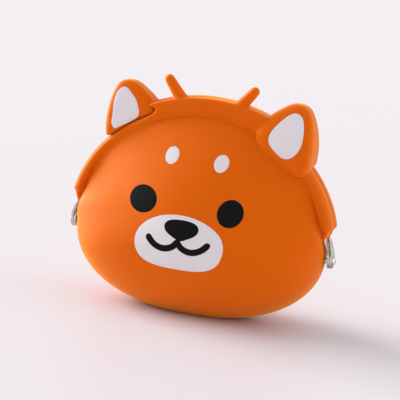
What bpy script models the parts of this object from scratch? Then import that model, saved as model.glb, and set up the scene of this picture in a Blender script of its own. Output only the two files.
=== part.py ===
"""Silicone coin purse with an animal face, two jaws on a riveted steel frame, standing upright.

The pouch, its two rims, the ears and the tufts are one soft moulding on the real purse. It is split
here where it bends: a bowl that stands still, and two jaws that turn about the hinge rivets. Both jaws
are the same shape, turned half a circle about the upright axis. X runs across the face, the face looks
along -Y, and Z is up from the surface that the purse stands on.
"""

import math

import bmesh
import bpy
from mathutils import Matrix, Vector

MM = 0.001
DEGREE = math.radians(1)

# Pouch
HALF_WIDTH = 50.0 * MM        # from the middle to the widest point of the skin
MIDDLE_HEIGHT = 30.0 * MM     # height of the widest line above the surface it stands on
CROWN_RISE = 45.0 * MM        # from the widest line up to the crease under the rim
BULGE = 24.0 * MM             # how far the face stands forward of the parting plane
FOOT_TRIM = 1.5 * MM          # how much of the round bottom is flattened to stand on
WALL = 2.0 * MM               # thickness of the silicone skin
SKIN_GAP = 0.3 * MM           # running gap between neighbouring pieces
BELLY_SQUARE_SHARE = 2.25     # exponent of the lower outline, 2 is an ellipse
BELLY_ROUND_SHARES = (2.4, 2.2)   # exponents of the lower half's roundness in depth
BROW_FLAT_SHARE = 0.3         # how much flatter the upper half is than a plain dome
FLAT_BROW_SHARES = (-0.25, 0.5)   # where the round belly turns into the sloping brow, as sines

# Hinge and jaws
PIVOT_HEIGHT = 27.5 * MM      # height of both hinge rivets
JAW_GAP = 0.3 * MM            # from the parting plane to each jaw's mating face

# Rim round the mouth
RIM_DEPTH = 6.2 * MM          # from the parting plane to the rim's outer face
RIM_PROUD = 2.8 * MM          # how far the rim stands out past the crease
RIM_INSET = 1.6 * MM          # how far it reaches in under the skin
RIM_END_HEIGHT = PIVOT_HEIGHT + 12.5 * MM     # where the full rim ends
RIM_ROUND = 1.3 * MM          # rounding of its edges
SLEEVE_END_HEIGHT = PIVOT_HEIGHT + 8.5 * MM   # where the thin sleeve round the steel ends
SLEEVE_PROUD = 2.1 * MM
SLEEVE_INSET = 0.9 * MM
PANEL_EDGE_GAP = 1.2 * MM     # from the crease line to the edge of the skin panel

# Tall band between the ears; a turn is 0 at the widest line and 90 degrees at the crown
BAND_PROUD = 7.0 * MM
BAND_START_TURN = 65.1 * DEGREE   # where it runs in under the jaw's own ear
BAND_TIP_TURN = 65.9 * DEGREE     # the lip at its free end
BAND_HOLLOW_TURN = 66.9 * DEGREE  # the hollow under that lip
BAND_HOLLOW_PROUD = 4.6 * MM
BAND_FOOT_TURN = 63.8 * DEGREE    # where the free end meets the plain rim

# Steel frame
STRIP_PROUD = 0.6 * MM        # middle of the steel strip past the crease
STRIP_THICK = 0.8 * MM
STRIP_WIDTH = 3.6 * MM
STRIP_GAP = 0.3 * MM          # clearance in the rim's channel
ARM_WIDTH = 3.2 * MM
ARM_BOW = 1.1 * MM            # how far each arm bows out of a straight line
ARM_CLEAR = 0.9 * MM          # from the skin's side to the inner arm
ARM_SPACE = 0.25 * MM         # between the two arms on one rivet
EYE_RADIUS = 2.1 * MM         # round end of an arm
JOGGLE_HEIGHT = 2.6 * MM      # length of the bent step from the strip to the arm

# Hinge rivets
RIVET_RADIUS = 1.0 * MM
RIVET_CLEAR = 0.25 * MM
RIVET_HEAD_RADIUS = 1.8 * MM
RIVET_HEAD_THICK = 0.7 * MM
RIVET_FOOT_THICK = 0.4 * MM   # the flat head next to the skin

# Ears, with outlines as shares of the way round the crease and of the rise square to it
EAR_START_TURN = 66.7 * DEGREE
EAR_END_TURN = 39.4 * DEGREE
EAR_RISE = 17.7 * MM
EAR_TIP_SHARES = (0.27, 1.00)
EAR_SHARES = (
    (0.00, 0.00), (0.03, 0.42), (0.13, 0.75), EAR_TIP_SHARES,
    (0.41, 1.01), (0.58, 0.80), (0.76, 0.51), (1.00, 0.00),
)
EAR_FRONT_DEPTH = 9.0 * MM    # depth of the ear's own side at its base
EAR_BACK_DEPTH = 6.4 * MM     # depth of the side that hangs over the other jaw
EAR_LEAN = 16.4 * MM          # over this height under the tip the two faces lean together
EAR_TIP_DEPTH_SHARE = 0.5     # the tip's depth as a share of the base's
EAR_ROUND = 1.8 * MM
EAR_FOOT_GAP = 0.5 * MM       # from the crease line to the ear's lower edge

# Inner lining of each ear, on its own jaw's side and on the side that hangs over the other jaw
LINING_THICK = 0.5 * MM
LINING_SHARES = (
    (0.66, 0.45), (0.57, 0.64), (0.48, 0.79), (0.41, 0.88), (0.35, 0.90), (0.30, 0.83), (0.25, 0.58),
    (0.20, 0.38), (0.19, 0.20), (0.22, 0.07), (0.30, -0.02), (0.45, -0.07), (0.57, -0.06),
    (0.66, 0.02), (0.70, 0.14), (0.70, 0.29),
)
HUNG_LINING_SHARES = (
    (0.61, 0.54), (0.55, 0.67), (0.44, 0.84), (0.36, 0.91), (0.30, 0.92), (0.26, 0.86), (0.24, 0.73),
    (0.22, 0.53), (0.24, 0.31), (0.27, 0.22), (0.33, 0.18), (0.49, 0.17), (0.65, 0.19), (0.71, 0.20),
    (0.73, 0.26), (0.71, 0.36),
)

# Tufts on the band
TUFT_RISE = 8.8 * MM          # from the band's top to the tip
TUFT_SINK = 2.1 * MM          # how far its root lies under the band's top
TUFT_TIP_TURN = 74.5 * DEGREE
TUFT_ROOT_TURN = 79.1 * DEGREE
TUFT_ROOT_RADIUS = 2.2 * MM
TUFT_TIP_RADIUS = 1.5 * MM
TUFT_SETBACK = 3.1 * MM       # from the parting plane to a tuft's middle

# Face
MARK_THICK = 0.5 * MM
EYE_ACROSS = 17.3 * MM
EYE_HEIGHT = 43.2 * MM
EYE_SIZE = 10.5 * MM
BROW_ACROSS = 9.8 * MM
BROW_HEIGHT = 60.0 * MM
BROW_WIDTH = 5.7 * MM
BROW_TALL = 6.7 * MM
MUZZLE_WIDTH = 35.0 * MM
MUZZLE_LOW = 20.0 * MM
MUZZLE_TOP = 40.2 * MM
MUZZLE_WIDEST = 28.2 * MM     # height of its widest line
NOSE_WIDTH = 13.2 * MM
NOSE_TOP = 38.9 * MM
NOSE_LOW = 31.0 * MM
NOSE_WIDEST = 36.0 * MM
MOUTH_REACH = 11.6 * MM       # from the middle to each end of the mouth
MOUTH_DIP_ACROSS = 5.7 * MM   # from the middle to the lowest point of each curve
MOUTH_DIP_HEIGHT = 26.9 * MM
MOUTH_MIDDLE_HEIGHT = 29.6 * MM
MOUTH_END_HEIGHT = 31.0 * MM
MOUTH_STROKE = 2.2 * MM

# Fineness of the curved faces
SKIN_SEGMENTS = 56
SKIN_RINGS = 12
ARC_STEPS = 36
EAR_CURVE_STEPS = 3
MARK_SEGMENTS = 22
CUT_OVERRUN = 4.0 * MM

HALF_TURN = math.pi
SMOOTH_ANGLE = 35 * DEGREE
MIRROR_SIDES = (-1, 1)


def smooth(low, high, value):
    """0 below low, 1 above high, and an even S between them."""
    share = min(1.0, max(0.0, (value - low) / (high - low)))
    return share * share * (3 - 2 * share)


def outline_reach(angle):
    """Distance from the pouch's middle to its edge line, in the direction of angle."""
    across, up = math.cos(angle), math.sin(angle)
    if up >= 0:
        return 1 / math.hypot(across / HALF_WIDTH, up / CROWN_RISE)
    power = BELLY_SQUARE_SHARE
    drop = MIDDLE_HEIGHT + FOOT_TRIM
    return (abs(across / HALF_WIDTH) ** power + abs(up / drop) ** power) ** (-1 / power)


def skin_depth(share, angle):
    """Depth of the skin's outer face from the parting plane, at a share of the way to its edge."""
    edge_height = MIDDLE_HEIGHT + outline_reach(angle) * math.sin(angle)
    mouth = smooth(PIVOT_HEIGHT, SLEEVE_END_HEIGHT, edge_height)
    edge = JAW_GAP * (edge_height > PIVOT_HEIGHT) + (RIM_DEPTH - JAW_GAP) * mouth
    slope = (1 - share * share) * (1 - BROW_FLAT_SHARE * share * share)
    belly = max(0.0, 1 - share ** BELLY_ROUND_SHARES[0]) ** (1 / BELLY_ROUND_SHARES[1])
    brow = smooth(*FLAT_BROW_SHARES, math.sin(angle))
    return edge + (BULGE - edge) * (belly + (slope - belly) * brow)


def skin_depth_at(across, height):
    """The same depth, at a place on the face."""
    up = height - MIDDLE_HEIGHT
    angle = math.atan2(up, across)
    return skin_depth(math.hypot(across, up) / outline_reach(angle), angle)


def oval(offset, turn):
    """A point on the crease line moved out by offset; turn runs from the right over the top."""
    return Vector((
        (HALF_WIDTH + offset) * math.cos(turn),
        MIDDLE_HEIGHT + (CROWN_RISE + offset) * math.sin(turn),
    ))


def turn_at_height(offset, height, side):
    """The turn at which that line crosses a height, on the right (1) or the left (-1)."""
    turn = math.asin((height - MIDDLE_HEIGHT) / (CROWN_RISE + offset))
    return turn if side > 0 else HALF_TURN - turn


def arc(offset, start, end, steps):
    """Points along that line between two turns, both ends included."""
    return [oval(offset, start + (end - start) * k / steps) for k in range(steps + 1)]


def rim_outline(grow):
    """Front view of the front jaw's rim with its tall band, made larger all round by grow."""
    proud, inset = RIM_PROUD + grow, -RIM_INSET - grow
    sleeve_out, sleeve_in = SLEEVE_PROUD + grow, -SLEEVE_INSET - grow
    end, low = RIM_END_HEIGHT - grow, SLEEVE_END_HEIGHT - grow
    tall = BAND_PROUD + grow
    turn_grow = grow / HALF_WIDTH
    band_start = BAND_START_TURN - turn_grow
    band_tip, band_hollow, band_foot = (
        HALF_TURN - turn + turn_grow for turn in (BAND_TIP_TURN, BAND_HOLLOW_TURN, BAND_FOOT_TURN)
    )
    steps = ARC_STEPS // 3
    points = [oval(sleeve_out, turn_at_height(sleeve_out, low, 1))]
    points += arc(proud, turn_at_height(proud, end, 1), band_start, steps)
    points += arc(tall, band_start, band_tip, steps)
    points.append(oval(BAND_HOLLOW_PROUD, band_hollow))
    points += arc(proud, band_foot, turn_at_height(proud, end, -1), steps)
    points.append(oval(sleeve_out, turn_at_height(sleeve_out, low, -1)))
    points.append(oval(sleeve_in, turn_at_height(sleeve_in, low, -1)))
    points += arc(inset, turn_at_height(inset, end, -1), turn_at_height(inset, end, 1), ARC_STEPS)
    points.append(oval(sleeve_in, turn_at_height(sleeve_in, low, 1)))
    return points


def strip_outline(grow, low):
    """Front view of the steel arch, made thicker by grow, down to the height low."""
    outer = STRIP_PROUD + STRIP_THICK / 2 + grow
    inner = STRIP_PROUD - STRIP_THICK / 2 - grow
    points = arc(outer, turn_at_height(outer, low, 1), turn_at_height(outer, low, -1), ARC_STEPS)
    return points + arc(inner, turn_at_height(inner, low, -1), turn_at_height(inner, low, 1), ARC_STEPS)


def smooth_curve(points, steps):
    """A smooth open curve through the points."""
    ends = [points[0] * 2 - points[1], *points, points[-1] * 2 - points[-2]]
    curve = []
    for before, here, there, after in zip(ends, ends[1:], ends[2:], ends[3:]):
        for k in range(steps):
            t = k / steps
            curve.append((
                here * 2
                + (there - before) * t
                + (before * 2 - here * 5 + there * 4 - after) * t ** 2
                + (here * 3 - before - there * 3 + after) * t ** 3
            ) / 2)
    return [*curve, points[-1]]


def ear_point(along, rise):
    """A point of the ear, at shares of the way round the crease and of the rise square to it."""
    turn = EAR_START_TURN + (EAR_END_TURN - EAR_START_TURN) * along
    return oval(EAR_FOOT_GAP + EAR_RISE * rise, turn)


def ear_outline():
    """Front view of the front jaw's ear, from the crease over the tip and back along the crease."""
    over = smooth_curve([ear_point(*shares) for shares in EAR_SHARES], EAR_CURVE_STEPS)
    return over + arc(EAR_FOOT_GAP, EAR_END_TURN, EAR_START_TURN, ARC_STEPS // 6)[1:-1]


def new_collection(name):
    made = bpy.data.collections.new(name)
    bpy.context.scene.collection.children.link(made)
    return made


def new_material(name, colour, roughness, metallic=0.0):
    made = bpy.data.materials.new(name)
    made.use_nodes = True
    shader = made.node_tree.nodes["Principled BSDF"]
    shader.inputs["Base Color"].default_value = (*colour, 1.0)
    shader.inputs["Roughness"].default_value = roughness
    shader.inputs["Metallic"].default_value = metallic
    made.diffuse_color = (*colour, 1.0)
    return made


def clear_scene():
    for old in list(bpy.data.objects):
        bpy.data.objects.remove(old, do_unlink=True)


def add_piece(name, mesh, material=None, jaw=None, collection=None):
    """Puts a mesh, modelled where it belongs, into the scene, on its jaw's axis if it has one."""
    piece = bpy.data.objects.new(name, mesh)
    (collection or parts).objects.link(piece)
    if material:
        mesh.materials.append(material)
    if jaw:
        piece.parent = jaw
        piece.location.z = -PIVOT_HEIGHT
    mesh.shade_smooth()
    mesh.set_sharp_from_angle(angle=SMOOTH_ANGLE)
    return piece


def plate_mesh(name, outline, near, far, rounding=0.0):
    """A flat outline of (across, up) points made solid between two depths, with rounded edges."""
    flat = bpy.data.curves.new(name, "CURVE")
    flat.dimensions = "2D"
    flat.fill_mode = "BOTH"
    flat.extrude = (far - near) / 2 - rounding
    flat.bevel_depth = rounding
    flat.bevel_resolution = 1
    flat.offset = -rounding
    line = flat.splines.new("POLY")
    line.points.add(len(outline) - 1)
    for point, place in zip(line.points, outline):
        point.co = (place[0], place[1], 0, 1)
    line.use_cyclic_u = True
    holder = bpy.data.objects.new(name, flat)
    bpy.context.scene.collection.objects.link(holder)
    upright = Matrix.Rotation(HALF_TURN / 2, 4, "X")
    holder.matrix_world = Matrix.Translation((0, (near + far) / 2, 0)) @ upright
    bpy.context.view_layer.update()
    seen = holder.evaluated_get(bpy.context.evaluated_depsgraph_get())
    mesh = bpy.data.meshes.new_from_object(seen)
    mesh.transform(holder.matrix_world)
    mesh.materials.clear()
    bpy.data.objects.remove(holder, do_unlink=True)
    bm = bmesh.new()
    bm.from_mesh(mesh)
    bmesh.ops.remove_doubles(bm, verts=bm.verts, dist=SKIN_GAP / 100)
    bmesh.ops.recalc_face_normals(bm, faces=bm.faces)
    bm.to_mesh(mesh)
    bm.free()
    return mesh


def disc_mesh(name, segments, rings, place):
    """A round sheet of rings; place(share, angle) says where each of its points goes."""
    bm = bmesh.new()
    bmesh.ops.create_uvsphere(bm, u_segments=segments, v_segments=2 * rings, radius=1)
    below = [v for v in bm.verts if v.co.z < -1 / (4 * rings)]
    bmesh.ops.delete(bm, geom=below, context="VERTS")
    for v in bm.verts:
        v.co = place(min(1.0, math.hypot(v.co.x, v.co.y)), math.atan2(v.co.y, v.co.x))
    mesh = bpy.data.meshes.new(name)
    bm.to_mesh(mesh)
    bm.free()
    return mesh


def cut_below(mesh, height):
    """Removes what lies below a height."""
    bm = bmesh.new()
    bm.from_mesh(mesh)
    bmesh.ops.bisect_plane(
        bm,
        geom=[*bm.verts, *bm.edges, *bm.faces],
        dist=SKIN_GAP / 100,
        plane_co=(0, 0, height),
        plane_no=(0, 0, 1),
        clear_inner=True,
    )
    bm.to_mesh(mesh)
    bm.free()


def add_wall(piece, thickness, offset=-1):
    wall = piece.modifiers.new("wall", "SOLIDIFY")
    wall.thickness = thickness
    wall.offset = offset


def combine(piece, other, operation):
    step = piece.modifiers.new(other.name, "BOOLEAN")
    step.operation = operation
    step.object = other
    step.solver = "EXACT"
    other.hide_render = True
    other.display_type = "WIRE"


def make_bowl():
    """The lower pouch: a round cup, flat underneath, up to the height of the hinges."""
    bm = bmesh.new()
    bmesh.ops.create_uvsphere(bm, u_segments=SKIN_SEGMENTS, v_segments=2 * SKIN_RINGS, radius=1)
    for v in bm.verts:
        share, angle = min(1.0, math.hypot(v.co.x, v.co.y)), math.atan2(v.co.y, v.co.x)
        reach = share * outline_reach(angle)
        side = -1 if v.co.z > 0 else 1
        depth = 0.0 if share > 0.9999 else skin_depth(share, angle)
        height = max(0.0, MIDDLE_HEIGHT + reach * math.sin(angle))
        v.co = (reach * math.cos(angle), side * depth, height)
    top = PIVOT_HEIGHT - SKIN_GAP
    bmesh.ops.bisect_plane(
        bm,
        geom=[*bm.verts, *bm.edges, *bm.faces],
        dist=SKIN_GAP / 100,
        plane_co=(0, 0, top),
        plane_no=(0, 0, 1),
        clear_outer=True,
    )
    mesh = bpy.data.meshes.new("pouch_bowl")
    bm.to_mesh(mesh)
    bm.free()
    add_wall(add_piece("pouch_bowl", mesh, orange), WALL)


def make_panel(name, jaw):
    """The upper skin of one jaw, from the hinge line to the crease."""

    def place(share, angle):
        reach = outline_reach(angle)
        share *= 1 - PANEL_EDGE_GAP / reach
        depth = skin_depth(share, angle)
        return (share * reach * math.cos(angle), -depth, MIDDLE_HEIGHT + share * reach * math.sin(angle))

    mesh = disc_mesh(name, SKIN_SEGMENTS, SKIN_RINGS, place)
    cut_below(mesh, PIVOT_HEIGHT)
    add_wall(add_piece(name, mesh, orange, jaw), WALL)


def channel_cutter(name, jaw):
    """The space in the rim that the steel strip slides into, open at both lower ends."""
    middle = -(RIM_DEPTH + JAW_GAP) / 2
    half = STRIP_WIDTH / 2 + STRIP_GAP
    outline = strip_outline(STRIP_GAP, SLEEVE_END_HEIGHT - CUT_OVERRUN)
    mesh = plate_mesh(name, outline, middle - half, middle + half)
    return add_piece(name, mesh, jaw=jaw, collection=cutters)


def make_rim(name, jaw):
    """The rim of one jaw with its tall band, its sleeves and the channel for the steel."""
    mesh = plate_mesh(name, rim_outline(0), -RIM_DEPTH, -JAW_GAP, RIM_ROUND)
    rim = add_piece(name, mesh, orange, jaw)
    combine(rim, channel_cutter(name + "_channel", jaw), "DIFFERENCE")


def make_ear(name, jaw):
    """An ear that grows from its own jaw's rim and hangs over the other jaw's."""
    mesh = plate_mesh(name, ear_outline(), -EAR_FRONT_DEPTH, EAR_BACK_DEPTH, EAR_ROUND)
    for v in mesh.vertices:
        v.co.y = ear_face_depth(v.co.z, v.co.y)
    ear = add_piece(name, mesh, orange, jaw)
    own = plate_mesh(name + "_own_rim", rim_outline(SKIN_GAP), -RIM_DEPTH - SKIN_GAP, JAW_GAP / 2)
    combine(ear, add_piece(own.name, own, jaw=jaw, collection=cutters), "DIFFERENCE")
    across = [(-x, z) for x, z in rim_outline(SKIN_GAP)]
    other = plate_mesh(name + "_other_rim", across, -JAW_GAP / 2, RIM_DEPTH + CUT_OVERRUN)
    combine(ear, add_piece(other.name, other, jaw=jaw, collection=cutters), "DIFFERENCE")


def ear_face_depth(height, base_depth):
    """Depth of an ear's face from the parting plane at a height."""
    below_tip = ear_point(*EAR_TIP_SHARES).y - height
    climb = max(0.0, 1 - below_tip / EAR_LEAN)
    return base_depth * (1 - (1 - EAR_TIP_DEPTH_SHARE) * climb)


def make_lining(name, jaw, hung):
    """The white lining on the ear's own face, or on its hanging side."""
    shares = HUNG_LINING_SHARES if hung else LINING_SHARES
    base_depth = EAR_BACK_DEPTH if hung else EAR_FRONT_DEPTH
    side = 1 if hung else -1
    outline = [ear_point(*share) for share in shares]
    count = len(outline)
    middle = sum(outline, Vector((0, 0))) / count

    def place(share, angle):
        turn = angle / (2 * HALF_TURN) % 1 * count
        k = int(turn) % count
        edge = outline[k].lerp(outline[(k + 1) % count], turn - int(turn))
        across, height = middle + (edge - middle) * share
        return (across, side * (ear_face_depth(height, base_depth) + SKIN_GAP), height)

    mesh = disc_mesh(name, 2 * count, 2, place)
    add_wall(add_piece(name, mesh, white, jaw), LINING_THICK, offset=-side)


def frame_stations():
    """The steel strip's stations from its right end over the top: (across, height, depth, half width)."""
    depth = -(RIM_DEPTH + JAW_GAP) / 2
    half = ARM_WIDTH / 2
    inner = HALF_WIDTH + ARM_CLEAR + STRIP_THICK / 2
    arms = {1: [], -1: []}
    for side, across in ((1, inner), (-1, -inner - STRIP_THICK - ARM_SPACE)):
        for turn in (168, 150, 130, 110, 90, 70):
            turn = math.radians(turn)
            width = EYE_RADIUS * math.sin(turn)
            arms[side].append((across, PIVOT_HEIGHT + EYE_RADIUS * math.cos(turn), 0, width))
        low, high = PIVOT_HEIGHT + EYE_RADIUS, SLEEVE_END_HEIGHT - JOGGLE_HEIGHT
        for k in range(4):
            height = low + (high - low) * k / 3
            climb = (height - PIVOT_HEIGHT) / (SLEEVE_END_HEIGHT - PIVOT_HEIGHT)
            bow = ARM_BOW * math.sin(HALF_TURN * climb)
            arms[side].append((across, height, depth * smooth(0, 1, climb) - bow, half))
    start, end = (turn_at_height(STRIP_PROUD, SLEEVE_END_HEIGHT, side) for side in (1, -1))
    arch = [(p.x, p.y, depth, STRIP_WIDTH / 2) for p in arc(STRIP_PROUD, start, end, ARC_STEPS)]
    return arms[1] + arch + arms[-1][::-1]


def make_frame(name, jaw):
    """One steel arch with a hinge arm at each end; its left arm lies outside the other frame's."""
    stations = frame_stations()
    last = len(stations) - 1
    bm = bmesh.new()
    bmesh.ops.create_grid(bm, x_segments=last, y_segments=2, size=1)
    for v in bm.verts:
        across, height, depth, half = stations[round((v.co.x + 1) / 2 * last)]
        v.co = (across, depth + v.co.y * half, height)
    mesh = bpy.data.meshes.new(name)
    bm.to_mesh(mesh)
    bm.free()
    frame = add_piece(name, mesh, steel, jaw)
    add_wall(frame, STRIP_THICK, offset=0)
    frame.modifiers["wall"].use_even_offset = True
    for side, word in zip(MIRROR_SIDES, ("left", "right")):
        combine(frame, rivet_hole(name + "_" + word + "_hole", side, jaw), "DIFFERENCE")


def rivet_hole(name, side, jaw):
    """A round cutter along the rivet, through one arm."""
    bm = bmesh.new()
    radius = RIVET_RADIUS + RIVET_CLEAR
    bmesh.ops.create_cone(
        bm, cap_ends=True, segments=16, radius1=radius, radius2=radius, depth=CUT_OVERRUN,
        matrix=Matrix.Translation((side * (HALF_WIDTH + ARM_CLEAR + STRIP_THICK), 0, PIVOT_HEIGHT))
        @ Matrix.Rotation(HALF_TURN / 2, 4, "Y"),
    )
    mesh = bpy.data.meshes.new(name)
    bm.to_mesh(mesh)
    bm.free()
    return add_piece(name, mesh, jaw=jaw, collection=cutters)


def turned_piece(name, profile, material, steps):
    """A solid of revolution about local Z from (radius, height) points, outer side top to bottom."""
    mesh = bpy.data.meshes.new(name)
    mesh.from_pydata([(r, 0, z) for r, z in profile], [(k, k + 1) for k in range(len(profile) - 1)], [])
    piece = add_piece(name, mesh, material)
    spin = piece.modifiers.new("turned", "SCREW")
    spin.steps = steps
    spin.render_steps = steps
    spin.use_merge_vertices = True
    spin.merge_threshold = SKIN_GAP / 100
    return piece


def make_rivet(name, side):
    """A hinge rivet with a flat foot next to the skin and a round head outside."""
    stack = 2 * STRIP_THICK + ARM_SPACE
    grip = stack + 2 * ARM_SPACE
    foot_top = ARM_CLEAR - ARM_SPACE
    foot_low = foot_top - RIVET_FOOT_THICK
    head_low = foot_top + grip
    head_top = head_low + RIVET_HEAD_THICK
    profile = [
        (0, head_top),
        (RIVET_HEAD_RADIUS * 0.6, head_top - RIVET_HEAD_THICK * 0.15),
        (RIVET_HEAD_RADIUS, head_top - RIVET_HEAD_THICK * 0.6),
        (RIVET_HEAD_RADIUS, head_low),
        (RIVET_RADIUS, head_low),
        (RIVET_RADIUS, foot_top),
        (RIVET_HEAD_RADIUS, foot_top),
        (RIVET_HEAD_RADIUS, foot_low),
        (0, foot_low),
    ]
    rivet = turned_piece(name, profile, steel, 18)
    rivet.location = (side * HALF_WIDTH, 0, PIVOT_HEIGHT)
    rivet.rotation_euler.y = side * HALF_TURN / 2


def make_tuft(name, jaw, side):
    """A finger of silicone that leans outward from the band's top."""
    tip_across, tip_height = oval(BAND_PROUD + TUFT_RISE, TUFT_TIP_TURN)
    root_across, root_height = oval(BAND_PROUD - TUFT_SINK, TUFT_ROOT_TURN)
    tip = Vector((side * tip_across, -TUFT_SETBACK, tip_height))
    root = Vector((side * root_across, -TUFT_SETBACK, root_height))
    length = (tip - root).length
    steps = 4
    profile = []
    for k in range(steps):
        turn = HALF_TURN / 2 * k / steps
        profile.append((TUFT_TIP_RADIUS * math.sin(turn), length - TUFT_TIP_RADIUS * (1 - math.cos(turn))))
    profile += [(TUFT_TIP_RADIUS, length - TUFT_TIP_RADIUS), (TUFT_ROOT_RADIUS, 0), (0, 0)]
    tuft = turned_piece(name, profile, orange, 14)
    tuft.parent = jaw
    tuft.location = root - Vector((0, 0, PIVOT_HEIGHT))
    tuft.rotation_euler = (tip - root).to_track_quat("Z", "Y").to_euler()
    grown = plate_mesh(name + "_band", rim_outline(SKIN_GAP), -RIM_DEPTH - CUT_OVERRUN, CUT_OVERRUN)
    combine(tuft, add_piece(grown.name, grown, jaw=jaw, collection=cutters), "DIFFERENCE")


def make_mark(name, jaw, material, point, layer, rings=2, segments=MARK_SEGMENTS):
    """A thin coloured patch that follows the skin; layer counts the patches under it."""
    lift = SKIN_GAP + layer * (MARK_THICK + SKIN_GAP)

    def place(share, angle):
        across, height = point(share, angle)
        return (across, -skin_depth_at(across, height) - lift, height)

    mesh = disc_mesh(name, segments, rings, place)
    add_wall(add_piece(name, mesh, material, jaw), MARK_THICK, offset=1)


def oval_mark(across, height, width, tall):
    def point(share, angle):
        return (across + share * width / 2 * math.cos(angle), height + share * tall / 2 * math.sin(angle))
    return point


def muzzle_point(share, angle):
    """A wide patch, flat underneath and narrower above."""
    up = math.sin(angle)
    squareness = 2.5 if up < 0 else 2.0
    half, reach = MUZZLE_WIDTH / 2, MUZZLE_TOP - MUZZLE_WIDEST if up > 0 else MUZZLE_WIDEST - MUZZLE_LOW
    size = (abs(math.cos(angle)) ** squareness + abs(up) ** squareness) ** (-1 / squareness)
    return share * half * size * math.cos(angle), MUZZLE_WIDEST + share * reach * size * up


def nose_point(share, angle):
    """A rounded triangle that points down."""
    up = math.sin(angle)
    reach = NOSE_TOP - NOSE_WIDEST if up > 0 else NOSE_WIDEST - NOSE_LOW
    narrow = 1 - 0.25 * max(0.0, -up)
    return share * NOSE_WIDTH / 2 * narrow * math.cos(angle), NOSE_WIDEST + share * reach * up


def make_mouth(name, jaw):
    """A stroke of two hanging curves that meet under the nose."""
    lift = SKIN_GAP + MARK_THICK + SKIN_GAP
    along, rows = 22, 2
    bm = bmesh.new()
    bmesh.ops.create_grid(bm, x_segments=along, y_segments=rows, size=1)
    for v in bm.verts:
        across = v.co.x * MOUTH_REACH
        inner = abs(across) < MOUTH_DIP_ACROSS
        high = MOUTH_MIDDLE_HEIGHT if inner else MOUTH_END_HEIGHT
        reach = MOUTH_DIP_ACROSS if inner else MOUTH_REACH - MOUTH_DIP_ACROSS
        share = (abs(across) - MOUTH_DIP_ACROSS) / reach
        line = MOUTH_DIP_HEIGHT + (high - MOUTH_DIP_HEIGHT) * share * share
        steep = 2 * share * (high - MOUTH_DIP_HEIGHT) / reach
        height = line + v.co.y * MOUTH_STROKE / 2 * math.hypot(1, steep)
        v.co = (across, -skin_depth_at(across, height) - lift, height)
    mesh = bpy.data.meshes.new(name)
    bm.to_mesh(mesh)
    bm.free()
    add_wall(add_piece(name, mesh, black, jaw), MARK_THICK, offset=1)


def make_face(jaw):
    for side, word in zip(MIRROR_SIDES, ("left", "right")):
        eye = oval_mark(side * EYE_ACROSS, EYE_HEIGHT, EYE_SIZE, EYE_SIZE)
        make_mark(word + "_eye", jaw, black, eye, 0)
        brow = oval_mark(side * BROW_ACROSS, BROW_HEIGHT, BROW_WIDTH, BROW_TALL)
        make_mark(word + "_brow", jaw, white, brow, 0)
    make_mark("muzzle_patch", jaw, white, muzzle_point, 0, rings=5, segments=30)
    make_mark("nose", jaw, black, nose_point, 1)
    make_mouth("mouth", jaw)


def make_axis(name, turn):
    """An empty on the hinge axis that carries one jaw."""
    axis = bpy.data.objects.new(name, None)
    parts.objects.link(axis)
    axis.location.z = PIVOT_HEIGHT
    axis.rotation_euler.z = turn
    return axis


clear_scene()
parts = new_collection("coin_purse")
cutters = new_collection("cutters")
orange = new_material("orange silicone", (0.70, 0.115, 0.007), 0.55)
white = new_material("white silicone", (0.78, 0.75, 0.82), 0.5)
black = new_material("black silicone", (0.010, 0.010, 0.010), 0.5)
steel = new_material("nickel plated steel", (0.60, 0.58, 0.55), 0.25, metallic=1.0)

front_jaw = make_axis("front_jaw_axis", 0)
back_jaw = make_axis("back_jaw_axis", HALF_TURN)

make_bowl()
for jaw, word, ear in ((front_jaw, "front", "right"), (back_jaw, "back", "left")):
    make_panel(word + "_panel", jaw)
    make_rim(word + "_rim", jaw)
    make_frame(word + "_frame", jaw)
    make_ear(ear + "_ear", jaw)
    make_lining(ear + "_ear_lining", jaw, jaw is back_jaw)
for side, word in zip(MIRROR_SIDES, ("left", "right")):
    make_rivet(word + "_hinge_rivet", side)
    make_tuft(word + "_tuft", front_jaw, side)
make_face(front_jaw)
cutters.hide_render = True
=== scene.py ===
"""Silicone coin purse with an animal face: its soft mouldings, steel, face marks, finishes and stage.

Each half of the purse is two pieces here. The skin half is one soft sheet from the foot to the crease
under the rim. The mouth half is the thick rim with its band and ear, which holds the steel and turns
with its jaw. The back half is the front one turned half a circle, with a slimmer ear and without the two
tufts and the face marks.
"""

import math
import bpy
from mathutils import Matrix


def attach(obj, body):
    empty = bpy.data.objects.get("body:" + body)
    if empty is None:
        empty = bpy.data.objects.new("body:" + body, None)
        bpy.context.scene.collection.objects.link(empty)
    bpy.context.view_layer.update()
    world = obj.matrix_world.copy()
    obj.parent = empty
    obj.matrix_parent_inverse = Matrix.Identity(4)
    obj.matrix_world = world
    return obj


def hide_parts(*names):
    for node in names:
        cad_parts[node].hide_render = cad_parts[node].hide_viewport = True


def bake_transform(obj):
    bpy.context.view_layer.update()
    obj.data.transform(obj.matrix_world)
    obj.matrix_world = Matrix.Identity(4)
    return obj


bl_info = {
    "name": "Silicone coin purse",
    "version": (1, 0, 0),
    "blender": (4, 5, 0),
    "location": "3D View > Sidebar > Coin purse",
    "description": "Builds a soft silicone clasp purse over its packed frame",
    "category": "Add Mesh",
}

import bmesh
import bpy
from bpy.props import FloatProperty, FloatVectorProperty, PointerProperty
from mathutils import Matrix, Vector
from mathutils.bvhtree import BVHTree

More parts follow.
